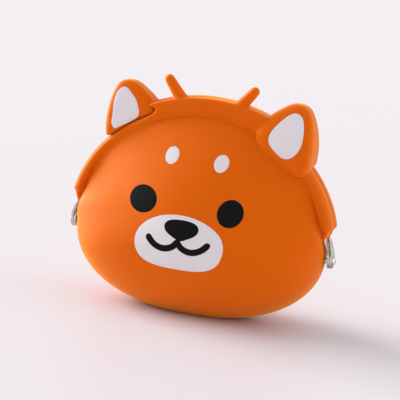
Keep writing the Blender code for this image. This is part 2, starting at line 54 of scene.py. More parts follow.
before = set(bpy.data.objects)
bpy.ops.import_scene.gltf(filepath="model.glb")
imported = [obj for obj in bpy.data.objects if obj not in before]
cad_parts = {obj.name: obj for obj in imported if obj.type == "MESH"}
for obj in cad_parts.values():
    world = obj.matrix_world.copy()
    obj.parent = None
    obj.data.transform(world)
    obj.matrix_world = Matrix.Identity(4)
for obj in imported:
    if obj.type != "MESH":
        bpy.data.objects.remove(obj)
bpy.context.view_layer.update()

MM = 0.001
DEGREE = math.radians(1)
HALF_TURN = math.pi

# Turns that stand a flat outline upright, and that make the back half from the front one
UPRIGHT = Matrix.Rotation(HALF_TURN / 2, 4, "X")
ABOUT = Matrix.Rotation(HALF_TURN, 4, "Z")

# The powers that round the belly's outline and section, and how the brow flattens between two sines
BELLY_OUTLINE_POWER = 2.25
BELLY_SECTION_POWERS = (2.4, 2.2)
BROW_FLAT_SHARE = 0.3
FLAT_BROW_SINES = (-0.25, 0.5)

# What the flat foot trims off the belly, and the belt over which the depth at the edge fades in
FOOT_TRIM = 1.5 * MM
EDGE_BELT = 38 * MM

# The crease under the rim. A name with BAND or FLANK is the value at the tall band or beside the eyes
CREASE_SINK, FLANK_CREASE_SINK = 1.3 * MM, 3.1 * MM
FLANK_INSET = 1.7 * MM
FLANK_BELT = (-16 * MM, -1.5 * MM)
FLANK_LOW_RISES = (2 * MM, 16 * MM)
FLANK_TOP_HEIGHTS = (46 * MM, 60 * MM)
EDGE_FALL, BAND_EDGE_FALL = 2.2, 1.0
HOLLOW, BAND_HOLLOW = 1.7 * MM, 1.2 * MM

# The skin's hem: how far the sheet runs past the crease, over the rim's face, and how it turns in there
HEM, BAND_HEM = 0.9 * MM, 2.1 * MM
HEM_OVER = 0.06 * MM
HEM_DIP_SHARE = 0.3
HEM_TURN_IN = 0.9 * MM
HEM_STEPS = (0.15, 0.4, 0.7, 1.0)

# The rim, with places given by turns round the crease: 0 at the widest line, 90 at the crown
RIM_INSET, FLANK_RIM_INSET = 1.6 * MM, 3.1 * MM
RIM_ROUND = 0.8 * MM
RIM_CROWN = 3.2 * MM
RIM_CROWN_SHARE = 0.9
RIM_END_RISE = 12.5 * MM
RIM_FACE_BELT = (1 * MM, 5 * MM)
LEAN_START, FLANK_LEAN_START = -0.8 * MM, -0.5 * MM
LEAN_END, BAND_LEAN_END, FLANK_LEAN_END = 1.6 * MM, 4.0 * MM, 2.4 * MM
SLEEVE_END_RISE = 8.5 * MM
SLEEVE_PROUD = (0.45 * MM, 2.7 * MM)
SLEEVE_INSET = 1.8 * MM
SLEEVE_ROUND = 0.7 * MM
SLEEVE_STEP = 1.2 * MM
SLEEVE_TUCK = 3 * MM
SLEEVE_POINT = 1.0 * MM
SLEEVE_MATE = 0.1 * MM
BAND_START_TURN = 65.1 * DEGREE
BAND_TIP_TURN = 65.6 * DEGREE
BAND_TILT = 0.4 * MM
BAND_FOOT_TURN = 63.6 * DEGREE
BAND_EDGE_HEIGHTS = (69.4 * MM, 71.4 * MM)
EAR_SEAT = 0.7 * MM
EAR_SEAT_TURNS = (40 * DEGREE, 48 * DEGREE)
MATE_GAP = 0.005 * MM

# The band's left end, which hooks over the ear: millimetres out of the crease and turns in degrees
BAND_LIPS = ((7.0, 65.3), (6.3, 65.2), (5.7, 65.9), (5.0, 67.4), (4.2, 67.4), (3.5, 65.9), (3.0, 64.9))

# Ear outline as shares of its width round the crease and of its rise
EAR_START_TURN = 66.7 * DEGREE
EAR_END_TURN = 39.4 * DEGREE
EAR_TIP_SHARES = (0.27, 0.99)
EAR_MIDDLE_SHARES = (0.4, 0.2)
EAR_SHARES = (
    (0.00, -0.03), (0.00, 0.12), (0.03, 0.42), (0.13, 0.75), (0.20, 0.91), (0.28, 0.985),
    (0.345, 1.00), (0.41, 0.975), (0.56, 0.80), (0.72, 0.575), (0.795, 0.46), (0.875, 0.335),
    (0.95, 0.22), (1.00, 0.07), (1.00, -0.03),
)
EAR_FOOT_GAP = 0.5 * MM
EAR_LAP = 6.5 * MM
EAR_LAP_TOP = 1.5 * MM
EAR_LAP_POWER = 1.6
EAR_LAP_SINK = 0.25 * MM
EAR_LAP_TURN = 6 * DEGREE
EAR_LAP_BACK = 1.4 * MM
EAR_LAP_BACK_OFFSET = -0.5 * MM
EAR_LEAN = 16.4 * MM
EAR_TIP_DEPTH_SHARE = 0.5
EAR_ROUND = 3.0 * MM
EAR_GROW = 0.55 * MM
EAR_CUT_GAP = 0.3 * MM
EAR_CUT_SPARE = 4 * MM
EAR_CUT_TURN = 12 * DEGREE
EAR_CUT_ROUND = 0.2 * MM
BACK_EAR_SLIM = 0.07
BACK_EAR_SLIM_PIVOT = 0.2
BACK_EAR_TALLER = 0.035

# The white linings, in the same shares: the front ear's and that of the ear that hangs from the back
LINING_SHARES = (
    (0.635, 0.45), (0.545, 0.63), (0.465, 0.76), (0.40, 0.835), (0.33, 0.85), (0.27, 0.79), (0.22, 0.60),
    (0.19, 0.38), (0.185, 0.20), (0.22, 0.07), (0.30, -0.02), (0.45, -0.07), (0.57, -0.06),
    (0.65, 0.02), (0.685, 0.14), (0.68, 0.29),
)
HUNG_LINING_SHARES = (
    (0.59, 0.54), (0.54, 0.67), (0.45, 0.84), (0.38, 0.91), (0.325, 0.92), (0.28, 0.87), (0.25, 0.73),
    (0.22, 0.53), (0.235, 0.31), (0.265, 0.22), (0.33, 0.18), (0.49, 0.17), (0.635, 0.19), (0.69, 0.20),
    (0.705, 0.26), (0.685, 0.36),
)
LINING_LIFT = 0.12 * MM
RAY_START = 30 * MM

# Tufts
TUFT_SINK = 2.4 * MM
TUFT_TIP_TURN = 74.1 * DEGREE
TUFT_ROOT_TURN = 79.1 * DEGREE
TUFT_ROOT_RADIUS = 2.6 * MM
TUFT_TIP_RADIUS = 1.9 * MM
TUFT_SETBACK = 3.3 * MM
TUFT_FLARE = 0.5 * MM
TUFT_FLARE_RISE = 3.4 * MM

# Face marks, right half from the top down, in millimetres from the middle and from the foot
MUZZLE_HALF = (
    (4.4, 39.8), (8.6, 38.7), (12.3, 36.8), (15.1, 34.6), (16.8, 32.0), (17.4, 29.2),
    (17.0, 26.4), (15.8, 23.9), (13.7, 22.0), (10.7, 20.7), (6.5, 20.0),
)
MUZZLE_ENDS = (40.2, 19.8)
NOSE_HALF = ((3.5, 38.4), (5.9, 37.5), (6.95, 35.9), (6.45, 34.1), (5.05, 32.8), (3.2, 31.8), (1.5, 31.0))
NOSE_ENDS = (38.7, 30.6)
MOUTH_HALF = ((0.0, 30.2), (1.3, 28.6), (3.2, 27.5), (5.4, 27.1), (7.6, 27.5), (9.8, 28.7), (11.55, 30.4))
MOUTH_STROKE = 2.6 * MM
MOUTH_SHIFT = -0.9 * MM
MUZZLE_SHIFT = -0.75 * MM

# How a mark rounds down to its edge, in shares of its lift, and how many lifts its hem sinks into the skin
PATCH_EDGE_DROP, PATCH_EDGE_POWER = 0.75, 12
STROKE_EDGE_DROP, STROKE_EDGE_POWER = 0.6, 4
MARK_SINK = 4

# The steel arms, with rises over the rivet and half widths in millimetres
ARM_THICKNESS = 0.45 * MM
LIP_WIDTH = 0.42 * MM
LIP_SHARE = 0.7
LIP_HEIGHT = 0.9 * MM
LIP_LOWERED = 0.4 * MM
LIP_LOWERED_RISES = (6.5, 8.2)
ARM_EYE = 2.1 * MM
ARM_FOOT = 2.8 * MM
ARM_FOOT_HALF = 0.4 * MM
ARM_WIDTHS = ((-0.1, 2.1), (0.0, 2.1), (3.0, 1.75), (7.2, 1.6), (8.4, 1.05), (12.0, 1.05))
ARM_RISE = 12.0 * MM
ARM_EDGE = 0.1 * MM
ARM_SPLAY = 3.1 * MM
ARM_SPLAY_RISES = (0, 9.5)
ARM_LEAN_RISES = (1.6, 8.8)
STRIP_THICKNESS = 0.8 * MM
STRIP_PROUD = 0.6 * MM
STRIP_WIDTH = 2.6 * MM
STRIP_LAP = 1.5 * MM

# For each side, how far out of the skin an arm's eye lies and how far the arm leans back in above it
ARM_LAYERS = {1: (1.1 * MM, 1.5 * MM), -1: (2.1 * MM, 2.5 * MM)}

# A rivet, from the middle of its head to that of its foot: radius and distance out of the skin, in mm
RIVET_PROFILE = (
    (0.0, 3.62), (0.45, 3.6), (0.85, 3.78), (1.2, 3.8), (1.6, 3.62), (1.9, 3.3), (1.9, 3.12),
    (0.9, 3.12), (0.9, 0.5), (1.3, 0.5), (1.3, 0.2), (0.0, 0.15),
)

# How each silicone takes light: gloss colour, gloss level, bloom, the bloom's haze colour, and glow
SILICONE_LOOKS = {
    "orange": ("#FFE050", 0.38, 0.5, "#FFC848", 0.16),
    "white": ("#FFFFFF", 0.2, 0.0, "#FFFFFF", 0.1),
    "black": ("#FFFFFF", 0.05, 0.0, "#FFFFFF", 0.0),
}

# Each lamp's name, its direction, the angle that it fills and the setting of its strength
LAMPS = (
    ("window_light", (-1.0, 0.25, 0.28), 40 * DEGREE, "key"),
    ("high_light", (-0.85, 0.05, 0.65), 50 * DEGREE, "high"),
    ("fill_light", (1.0, 0.12, 0.30), 50 * DEGREE, "fill"),
    ("top_light", (0.0, 0.1, 1.0), 50 * DEGREE, "top"),
)

# The camera's place along its own axes, in millimetres, how far it is lowered after that, and its sensor
CAMERA_PLACE = (3.154, 44.474, 584.104)
CAMERA_DROP = 2.5 * MM
SENSOR_WIDTH = 36

# Fineness: counts, voxels, easing as (factor, repeats), and the distances within which points are welded
SKIN_SEGMENTS, SKIN_RINGS = 176, 44
RIM_STEPS, BAND_STEPS = 26, 36
SLEEVE_OUTER_STEPS, SLEEVE_INNER_STEPS = 12, 8
EAR_CURVE_STEPS, EAR_LAP_STEPS, EAR_CUT_STEPS = 8, 12, 30
LINING_CURVE_STEPS, MARK_CURVE_STEPS, MOUTH_CURVE_STEPS = 5, 4, 6
TUFT_STEPS, TUFT_TIP_STEPS, TUFT_SEGMENTS = 12, 6, 24
ARM_STEPS, ARM_FOOT_STEPS, ARCH_STEPS, RIVET_SEGMENTS = 22, 10, 60, 32
OVAL_SEGMENTS, STROKE_END_STEPS = 64, 12
EYE_RINGS, BROW_RINGS, MUZZLE_RINGS, NOSE_RINGS, LINING_RINGS = 8, 6, 18, 10, 10
PLACE_ROUNDS = 4
PIECE_VOXEL, MOUTH_VOXEL = 0.5 * MM, 0.42 * MM
EAR_EASES = ((0.5, 24),)
MOUTH_EASES = ((0.5, 9), (-0.5, 5), (0.5, 2))
PLATE_WELD, SKIN_WELD, STROKE_WELD = 0.003 * MM, 0.004 * MM, 0.01 * MM
SHARP_ANGLE = 42 * DEGREE
BEVEL_ANGLE = 50 * DEGREE

# How far the floor reaches each way, in metres, and its squares along a side
FLOOR_REACH, FLOOR_SQUARES = 30.0, 8

# The places of a Mix node's colour sockets, which share their names with its other sockets
MIX_FIRST, MIX_SECOND, MIX_RESULT = 6, 7, 2


def linear(code):
    """An sRGB hex colour as linear red, green, blue and alpha."""
    shares = [int(code[k:k + 2], 16) / 255 for k in (1, 3, 5)]
    return (*(s / 12.92 if s <= 0.04045 else ((s + 0.055) / 1.055) ** 2.4 for s in shares), 1.0)


def size(name, description, default):
    return FloatProperty(name=name, description=description, default=default, unit="LENGTH", precision=5)


def camera_angle(name, description, default):
    return FloatProperty(name=name, description=description, default=default, subtype="ANGLE")


def lamp_strength(name, direction, default):
    return FloatProperty(name=name, description=f"Strength of the light from {direction}", default=default)


def colour(name, description, code):
    return FloatVectorProperty(
        name=name, description=description, default=linear(code), size=4, subtype="COLOR", min=0, max=1
    )


class PurseShape(bpy.types.PropertyGroup):
    half_width: size("Half width", "From the middle to the widest point of the skin", 50.0 * MM)
    middle_height: size("Middle height", "Height of the widest line", 30.0 * MM)
    crown_rise: size("Crown rise", "From the widest line up to the crease under the rim", 45.0 * MM)
    bulge: size("Bulge", "How far the face stands forward of the parting plane", 24.0 * MM)
    wall: size("Wall", "Thickness of the silicone", 2.0 * MM)
    hinge_height: size("Hinge height", "Height of both rivets", 27.5 * MM)
    rim_depth: size("Rim depth", "From the parting plane to the rim's outer face", 6.2 * MM)
    rim_proud: size("Rim proud", "How far the rim stands out past the crease", 3.65 * MM)
    band_proud: size("Band proud", "The same, for the tall band between the ears", 7.5 * MM)
    ear_rise: size("Ear rise", "Height of an ear over the crease", 17.7 * MM)
    ear_front: size("Ear depth", "Depth of an ear's own side at its base", 9.0 * MM)
    ear_back: size("Ear overhang", "Depth of the side that hangs over the other rim", 6.4 * MM)
    tuft_rise: size("Tuft rise", "From the band's top to a tuft's tip", 8.7 * MM)
    tuft_drop: size("Tuft drop", "How much lower the right tuft ends than the left one", 0.7 * MM)


class PurseFace(bpy.types.PropertyGroup):
    eye_across: size("Eye place", "From the middle of the face to an eye", 17.3 * MM)
    eye_shift: size("Eye shift", "How far both eyes sit to the left", 0.35 * MM)
    eye_height: size("Eye height", "From the foot to an eye's middle", 43.2 * MM)
    eye_drop: size("Eye drop", "How much lower the right eye is laid than the left one", 0.6 * MM)
    eye_tall: size("Eye length", "From the top of an eye to its bottom", 10.1 * MM)
    eye_width: size("Eye width", "Mean width of the two eyes", 10.7 * MM)
    eye_stretch: size("Eye stretch", "How much wider the left eye is laid than the right one", 2.6 * MM)
    brow_across: size("Brow place", "From the middle of the face to a brow", 9.8 * MM)
    brow_shift: size("Brow shift", "How far both brows sit to the right", 0.05 * MM)
    brow_height: size("Brow height", "From the foot to a brow's middle", 60.2 * MM)
    brow_drop: size("Brow drop", "How much lower the right brow is laid than the left one", 0.5 * MM)
    brow_width: size("Brow width", "Width of a brow spot", 5.5 * MM)
    brow_tall: size("Brow length", "From the top of a brow spot to its bottom", 6.3 * MM)
    lift: size("Mark lift", "How far a mark stands off the skin", 0.1 * MM)


class PurseFinish(bpy.types.PropertyGroup):
    orange: colour("Orange silicone", "Pigment of the purse", "#DD5D05")
    orange_deep: colour("Deep orange", "Pigment where it pooled thicker", "#D75706")
    white: colour("White silicone", "Pigment of the pale marks", "#DFDADD")
    white_deep: colour("Deep white", "Pale pigment where it pooled thicker", "#D8D3D7")
    black: colour("Black silicone", "Pigment of the dark marks", "#121212")
    black_deep: colour("Deep black", "Dark pigment where it pooled thicker", "#181818")
    nickel: colour("Nickel", "Plating of the frame and rivets", "#CBC7C0")
    floor: colour("Floor", "Pale table top", "#D2CDD0")
    floor_deep: colour("Deep floor", "The table top's faint clouds", "#CEC9CC")
    floor_bounce: colour("Floor bounce", "What the table top throws back up", "#EAE6E9")


class PurseStage(bpy.types.PropertyGroup):
    azimuth: camera_angle("Azimuth", "Camera's turn to the right", 17.815 * DEGREE)
    elevation: camera_angle("Elevation", "Camera's rise", 10.235 * DEGREE)
    roll: camera_angle("Roll", "Camera's roll", -5.761 * DEGREE)
    lens: FloatProperty(name="Lens", description="Focal length", default=135.44, unit="CAMERA")
    key: lamp_strength("Window light", "the left", 3.6)
    high: lamp_strength("High light", "the left above", 1.5)
    fill: lamp_strength("Fill light", "the right", 1.0)
    top: lamp_strength("Top light", "above", 0.1)
    air: lamp_strength("Air", "all round", 0.68)
    air_tone: colour("Air tone", "Colour of the light from all round", "#FBFAFC")


def smooth(low, high, value):
    """0 below low, 1 above high, and an even S between them."""
    share = min(1.0, max(0.0, (value - low) / (high - low)))
    return share * share * (3 - 2 * share)


def between(first, last, share):
    """The value at a share of the way from the first to the last."""
    return first + (last - first) * share


def even_steps(first, last, count):
    """The two values, with even steps between them."""
    return [between(first, last, k / count) for k in range(count + 1)]


def full_circle(count):
    """So many turns, evenly round a circle."""
    return [2 * HALF_TURN * k / count for k in range(count)]


def over_band(edge_height):
    """1 where the tall band rises from the rim, 0 where it doesn't."""
    return smooth(*BAND_EDGE_HEIGHTS, edge_height)


def soft_max(a, b, width):
    """The larger of two depths, with a round hollow of that width where they meet."""
    return max(a, b) + max(width - abs(a - b), 0.0) ** 2 / (4 * width)


class Skin:
    """The purse's skin as a depth in front of its parting plane, and the places round its crease."""

    def __init__(self, shape):
        self.half_width = shape.half_width
        self.middle = shape.middle_height
        self.crown = shape.crown_rise
        self.bulge = shape.bulge
        self.hinge = shape.hinge_height
        self.rim_depth = shape.rim_depth
        self.rim_proud = shape.rim_proud
        self.band_proud = shape.band_proud
        self.ear_rise = shape.ear_rise
        self.ear_front = shape.ear_front
        self.ear_back = shape.ear_back
        self.sleeve_end = self.hinge + SLEEVE_END_RISE
        self.rim_end = self.hinge + RIM_END_RISE

    def reach(self, angle):
        """Distance from the middle to the edge line, in the direction of angle."""
        across, up = math.cos(angle), math.sin(angle)
        if up >= 0:
            return 1 / math.hypot(across / self.half_width, up / self.crown)
        power = BELLY_OUTLINE_POWER
        drop = self.middle + FOOT_TRIM
        return (abs(across / self.half_width) ** power + abs(up / drop) ** power) ** (-1 / power)

    def edge_depth(self, share, angle):
        """Depth at which the skin meets the rim; away from the edge it fades in over a wide belt."""
        edge_height = self.middle + self.reach(angle) * math.sin(angle)
        spread = EDGE_BELT * (1 - share)
        fade = smooth(self.hinge - spread, self.sleeve_end + spread, edge_height)
        return (self.rim_depth - CREASE_SINK) * fade

    def flank(self, edge_height):
        """1 beside the eyes, where the crease lies further in and deeper; 0 at the hinge and the band."""
        above_hinge = smooth(*FLANK_LOW_RISES, edge_height - self.hinge)
        return above_hinge * (1 - smooth(*FLANK_TOP_HEIGHTS, edge_height))

    def past_crease(self, offset, edge_height):
        """Distance past the crease, for a distance past the edge line."""
        return offset + FLANK_INSET * self.flank(edge_height) * smooth(*FLANK_BELT, offset)

    def rim_face(self, offset, edge_height):
        """Depth of the rim's outer face, which leans back to the crease and rounds over to its edge."""
        band, flank = over_band(edge_height), self.flank(edge_height)
        low = between(LEAN_START, FLANK_LEAN_START, flank)
        top = between(between(LEAN_END, BAND_LEAN_END, band), FLANK_LEAN_END, flank)
        lean = 1 - smooth(low, top, self.past_crease(offset, edge_height))
        over = min(RIM_CROWN_SHARE, max(0.0, 1 + (offset - self.rim_proud) / RIM_CROWN)) * (1 - band)
        rounded = RIM_CROWN * (1 - math.sqrt(1 - over * over))
        return self.rim_depth - between(CREASE_SINK, FLANK_CREASE_SINK, flank) * lean - rounded

    def depth(self, share, angle):
        """Depth of the plain skin at a share of the way to its edge."""
        edge = self.edge_depth(share, angle)
        slope = (1 - share * share) * (1 - BROW_FLAT_SHARE * share * share)
        inner, outer = BELLY_SECTION_POWERS
        belly = max(0.0, 1 - share ** inner) ** (1 / outer)
        brow = smooth(*FLAT_BROW_SINES, math.sin(angle))
        return between(edge, self.bulge, between(belly, slope, brow))

    def filleted(self, offset, angle):
        """The skin's depth at a distance past its edge, with the hollow that leads into the rim."""
        reach = self.reach(angle)
        edge_height = self.middle + reach * math.sin(angle)
        rim = smooth(self.sleeve_end, self.rim_end, edge_height)
        band = over_band(edge_height)
        past = self.past_crease(offset, edge_height)
        if past <= 0:
            plain = self.depth(1 + past / reach, angle)
        else:
            plain = self.edge_depth(1.0, angle) - past * between(EDGE_FALL, BAND_EDGE_FALL, band)
        if rim <= 0:
            return plain
        # The sheet lies just over the rim's face and dips as far under it towards its own end
        end = between(HEM, BAND_HEM, band)
        over = between(HEM_OVER, -HEM_OVER, smooth(HEM_DIP_SHARE * end, end, past))
        face = self.rim_face(offset, edge_height) + over
        return between(plain, soft_max(plain, face, between(HOLLOW, BAND_HOLLOW, band)), rim)

    def face_depth(self, across, height):
        """The skin's depth at a place on the face."""
        up = height - self.middle
        angle = math.atan2(up, across)
        return self.filleted(math.hypot(across, up) - self.reach(angle), angle)

    def oval(self, offset, turn):
        """A point of the crease line moved out by offset."""
        return Vector((
            (self.half_width + offset) * math.cos(turn),
            self.middle + (self.crown + offset) * math.sin(turn),
        ))

    def place_of(self, across, height):
        """How far out of the crease line a point lies, and its turn, found closer in each round."""
        up = height - self.middle
        offset, turn = 0.0, 0.0
        for _ in range(PLACE_ROUNDS):
            turn = math.atan2(up / (self.crown + offset), across / (self.half_width + offset))
            near = self.oval(offset, turn)
            offset += math.hypot(across, up) - math.hypot(near.x, near.y - self.middle)
        return offset, turn

    def turn_at(self, offset, height, side):
        """The turn at which the line, moved out by offset, is at a height, on the right or left side."""
        turn = math.asin((height - self.middle) / (self.crown + offset))
        return turn if side > 0 else HALF_TURN - turn

    def arc(self, offset, start, end, steps):
        """Points along the line moved out by offset, from one turn to another."""
        return [self.oval(offset, turn) for turn in even_steps(start, end, steps)]

    def ear_point(self, along, rise):
        """A point of an ear, from its shares of the ear's width and rise."""
        turn = between(EAR_START_TURN, EAR_END_TURN, along)
        return self.oval(EAR_FOOT_GAP + self.ear_rise * rise, turn)

    def ear_lean(self, height):
        """How much of its base depth an ear still has at a height."""
        below_tip = self.ear_point(*EAR_TIP_SHARES).y - height
        return 1 - (1 - EAR_TIP_DEPTH_SHARE) * max(0.0, 1 - below_tip / EAR_LEAN)

    def seat_point(self, turn, gap):
        """A point of the thin rim's edge, let in a little where the other half's ear sits."""
        from_side = min(turn, HALF_TURN - turn)
        seat = EAR_SEAT * smooth(*EAR_SEAT_TURNS, from_side)
        return self.oval(self.rim_proud - seat + gap, turn)

    def rim_outline(self):
        """Front view of the rim and its band, down to where the full rim ends."""
        end, proud = self.rim_end, self.rim_proud
        tip, foot = HALF_TURN - BAND_TIP_TURN, HALF_TURN - BAND_FOOT_TURN
        points = self.arc(proud, self.turn_at(proud, end, 1), BAND_START_TURN, RIM_STEPS)
        tilts = even_steps(BAND_TILT, -BAND_TILT, BAND_STEPS)
        turns = even_steps(BAND_START_TURN, tip, BAND_STEPS)
        points += [self.oval(self.band_proud + tilt, turn) for tilt, turn in zip(tilts, turns)]
        points += [self.oval(out * MM, HALF_TURN - turn * DEGREE) for out, turn in BAND_LIPS]
        last = self.turn_at(proud, end, -1)
        points += [self.seat_point(turn, 0.0) for turn in even_steps(foot, last, RIM_STEPS)]
        first, last = self.turn_at(-RIM_INSET, end, -1), self.turn_at(-RIM_INSET, end, 1)
        for turn in even_steps(first, last, 3 * RIM_STEPS):
            flank = self.flank(self.middle + self.crown * math.sin(turn))
            points.append(self.oval(-between(RIM_INSET, FLANK_RIM_INSET, flank), turn))
        return points

    def sleeve_outline(self, side):
        """Front view of the thin sleeve that tapers from inside the rim's end down onto the steel."""
        low, top = self.sleeve_end, self.rim_end + SLEEVE_TUCK
        points = []
        for height in even_steps(low, top, SLEEVE_OUTER_STEPS):
            proud = between(*SLEEVE_PROUD, min(1.0, (height - low) / (self.rim_end - low)))
            points.append(self.oval(proud, self.turn_at(proud, height, side)))
        for height in even_steps(top, low - SLEEVE_POINT, SLEEVE_INNER_STEPS):
            points.append(self.oval(-SLEEVE_INSET, self.turn_at(-SLEEVE_INSET, height, side)))
        return points

    def ear_outline(self, slim, taller):
        """Front view of an ear, a little larger than it ends up, since easing its edges shrinks it."""
        points = [
            self.ear_point(between(along, BACK_EAR_SLIM_PIVOT, slim), rise * (1 + taller))
            for along, rise in EAR_SHARES
        ]
        over = smooth_curve(points, EAR_CURVE_STEPS)
        middle = self.ear_point(*EAR_MIDDLE_SHARES)
        over = [p + (p - middle).normalized() * EAR_GROW for p in over]
        first, last = EAR_END_TURN + EAR_LAP_TURN, EAR_START_TURN - EAR_LAP_TURN
        return over + self.arc(-EAR_LAP, first, last, EAR_LAP_STEPS)


def smooth_curve(points, steps, closed=False):
    """A smooth curve through the points."""
    if closed:
        ends = [points[-1], *points, points[0], points[1]]
    else:
        ends = [points[0] * 2 - points[1], *points, points[-1] * 2 - points[-2]]
    curve = []
    for before, here, there, after in zip(ends, ends[1:], ends[2:], ends[3:]):
        for k in range(steps):
            t = k / steps
            curve.append((
                here * 2
                + (there - before) * t
                + (before * 2 - here * 5 + there * 4 - after) * t ** 2
                + (here * 3 - before - there * 3 + after) * t ** 3
            ) / 2)
    return curve if closed else [*curve, points[-1]]


def mesh_from(name, bm, outward=False):
    """A mesh from a net of points and faces, which is used up; outward first turns its faces outwards."""
    if outward:
        bmesh.ops.recalc_face_normals(bm, faces=bm.faces)
    mesh = bpy.data.meshes.new(name)
    bm.to_mesh(mesh)
    bm.free()
    return mesh


def joined(name, meshes):
    """One mesh of several."""
    bm = bmesh.new()
    for mesh in meshes:
        bm.from_mesh(mesh)
    return mesh_from(name, bm)


def bridge(bm, rows, closed=False):
    """Faces between each row of points and the next; closed also joins each row's end to its start."""
    for low, high in zip(rows, rows[1:]):
        for k in range(0 if closed else 1, len(low)):
            bm.faces.new((low[k - 1], low[k], high[k], high[k - 1]))


def add_object(name, mesh):
    """A mesh, lamp or camera as an object in the scene."""
    made = bpy.data.objects.new(name, mesh)
    bpy.context.scene.collection.objects.link(made)
    return made


def applied(holder, name):
    """The holder's mesh with its modifiers in it; the holder is deleted."""
    bpy.context.view_layer.update()
    seen = holder.evaluated_get(bpy.context.evaluated_depsgraph_get())
    mesh = bpy.data.meshes.new_from_object(seen)
    mesh.transform(holder.matrix_world)
    mesh.name = name
    bpy.data.objects.remove(holder, do_unlink=True)
    return mesh


def plate_mesh(name, outline, near, far, rounding):
    """A flat outline of (across, up) points made solid between two depths, with rounded edges."""
    flat = bpy.data.curves.new(name, "CURVE")
    flat.dimensions = "2D"
    flat.fill_mode = "BOTH"
    flat.extrude = (far - near) / 2 - rounding
    flat.bevel_depth = rounding
    flat.bevel_resolution = 4
    flat.offset = -rounding
    line = flat.splines.new("POLY")
    line.points.add(len(outline) - 1)
    for point, place in zip(line.points, outline):
        point.co = (place[0], place[1], 0, 1)
    line.use_cyclic_u = True
    holder = add_object(name, flat)
    holder.matrix_world = Matrix.Translation((0, (near + far) / 2, 0)) @ UPRIGHT
    bm = bmesh.new()
    bm.from_mesh(applied(holder, name))
    bmesh.ops.remove_doubles(bm, verts=bm.verts, dist=PLATE_WELD)
    return mesh_from(name, bm, outward=True)


def refine(holder, voxel, eases, name):
    """The holder's mesh as an even net of small squares, eased by (factor, repeats) steps."""
    net = holder.modifiers.new("net", "REMESH")
    net.mode = "VOXEL"
    net.voxel_size = voxel
    for factor, repeats in eases:
        ease = holder.modifiers.new("eased", "SMOOTH")
        ease.factor = factor
        ease.iterations = repeats
    return applied(holder, name)


def turned_mesh(name, profile, segments, place):
    """A round piece from (radius, height) pairs that begin and end on its axis, moved to its place."""
    bm = bmesh.new()
    rings = [
        [bm.verts.new((radius * math.cos(t), radius * math.sin(t), height)) for t in full_circle(segments)]
        for radius, height in profile[1:-1]
    ]
    bridge(bm, rings, closed=True)
    ends = [bm.verts.new((0, 0, profile[k][1])) for k in (0, -1)]
    for k in range(segments):
        bm.faces.new((rings[0][k], rings[0][k - 1], ends[0]))
        bm.faces.new((rings[-1][k - 1], rings[-1][k], ends[1]))
    bmesh.ops.transform(bm, matrix=place, verts=bm.verts)
    return mesh_from(name, bm, outward=True)


def tuft_mesh(root, tip):
    """A round finger that flares a little at its root and has a round tip."""
    length = (tip - root).length
    profile = [(0.0, 0.0)]
    for share in even_steps(0.0, 1.0, TUFT_STEPS):
        along = (length - TUFT_TIP_RADIUS) * share
        flare = TUFT_FLARE * max(0.0, 1 - along / TUFT_FLARE_RISE) ** 2
        profile.append((between(TUFT_ROOT_RADIUS, TUFT_TIP_RADIUS, share) + flare, along))
    for turn in even_steps(0.0, HALF_TURN / 2, TUFT_TIP_STEPS)[1:]:
        profile.append((TUFT_TIP_RADIUS * math.cos(turn), length - TUFT_TIP_RADIUS * (1 - math.sin(turn))))
    lean = (tip - root).to_track_quat("Z", "Y").to_matrix().to_4x4()
    return turned_mesh("tuft", profile, TUFT_SEGMENTS, Matrix.Translation(root) @ lean)


def skin_half_mesh(skin, wall):
    """One half of the soft skin, from the middle of the face round to the parting plane."""
    bm = bmesh.new()
    columns = []
    for angle in full_circle(SKIN_SEGMENTS):
        reach = skin.reach(angle)
        edge_height = skin.middle + reach * math.sin(angle)
        rim = smooth(skin.sleeve_end, skin.rim_end, edge_height)
        # The sheet ends a little past the crease, on the rim's face, and then turns in under the rim
        hem = between(HEM, BAND_HEM, over_band(edge_height))
        end = (hem - FLANK_INSET * skin.flank(edge_height)) * rim
        stations = []
        for ring in range(1, SKIN_RINGS + 1):
            radius = (reach + end) * math.sin(HALF_TURN / 2 * ring / SKIN_RINGS)
            stations.append((radius, skin.filleted(radius - reach, angle)))
        last = stations[-1][1]
        gap = MATE_GAP if edge_height > skin.hinge else 0.0
        for step in HEM_STEPS:
            inward = HEM_TURN_IN * rim * smooth(0.0, 0.5, step)
            stations.append((reach + end - inward, between(last, gap, step)))
        column = []
        for radius, depth in stations:
            height = max(0.0, skin.middle + radius * math.sin(angle))
            column.append(bm.verts.new((radius * math.cos(angle), -depth, height)))
        columns.append(column)
    pole = bm.verts.new((0, -skin.bulge, skin.middle))
    columns.append(columns[0])
    for here, there in zip(columns, columns[1:]):
        bm.faces.new((pole, here[0], there[0]))
    bridge(bm, columns)
    bmesh.ops.remove_doubles(bm, verts=bm.verts, dist=SKIN_WELD)
    bmesh.ops.dissolve_degenerate(bm, edges=bm.edges, dist=SKIN_WELD)
    holder = add_object("skin", mesh_from("skin", bm))
    solid = holder.modifiers.new("wall", "SOLIDIFY")
    solid.thickness = wall
    solid.offset = -1
    return applied(holder, "skin_half")


